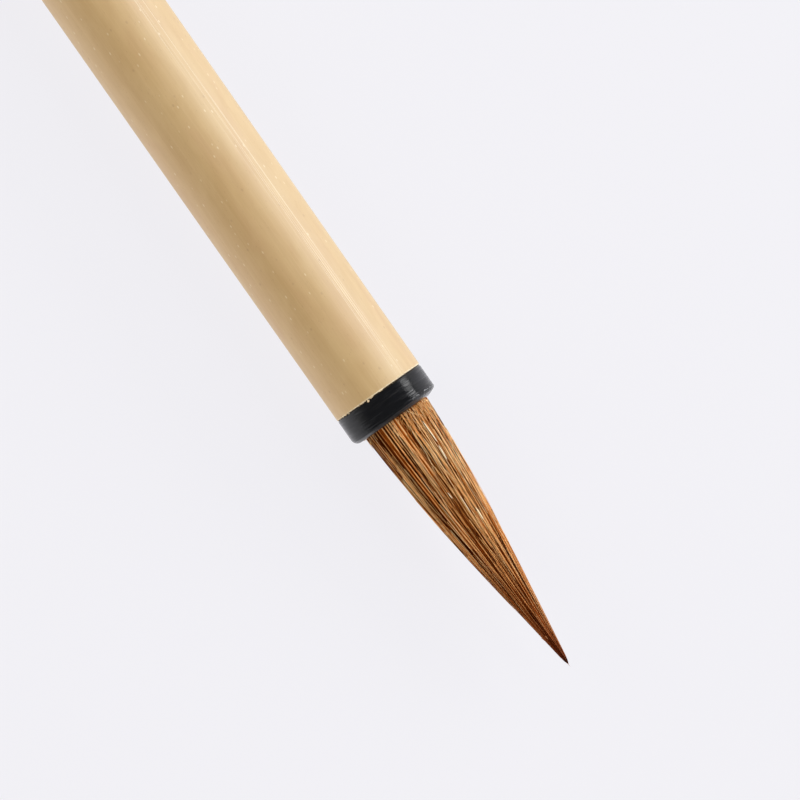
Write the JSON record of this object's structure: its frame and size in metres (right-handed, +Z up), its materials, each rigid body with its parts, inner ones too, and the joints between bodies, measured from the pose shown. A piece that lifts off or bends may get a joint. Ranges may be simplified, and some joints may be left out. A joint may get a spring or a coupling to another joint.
{
  "type": "calligraphy brush",
  "caption": "Round calligraphy brush: bamboo tube handle, short black ferrule and a long pointed tuft of brown hair that bends and springs back.",
  "frame": {"origin": "under the middle of the brush's length, on the surface that it lies on", "axes": "+X along the brush towards the tip of the hair, +Z up from the surface that the handle lies on, +Y across it"},
  "size_m": [0.25, 0.011, 0.011],
  "materials": {
    "bamboo": "satin varnished bamboo skin",
    "black_horn": "polished black",
    "cover_hair": "golden brown animal hair",
    "core_hair": "dark red-brown animal hair",
    "padding_hair": "short dull brown hair",
    "thread": "unbleached cotton thread",
    "rosin": "amber rosin"
  },
  "bodies": {
    "handle": {"handle_shaft": "bamboo", "ferrule": "black_horn", "tail_cap": "black_horn", "rosin_seal": "rosin", "binding_thread": "thread", "cover_hair_root": "cover_hair", "core_hair_root": "core_hair", "belly_hair": "padding_hair", "waist_hair": "padding_hair"},
    "tuft": {"cover_hair_tip": "cover_hair", "core_hair_tip": "core_hair"}
  },
  "joints": [
    {"name": "tuft_bend", "type": "hinge", "parent": "handle", "child": "tuft", "pos_m": [0.1074, 0, 0.0055], "axis": [0, 0, 1], "range_deg": [-50, 50], "stiffness_Nm_per_rad": 0.002, "deforming": ["cover_hair_tip", "core_hair_tip"]}
  ]
}
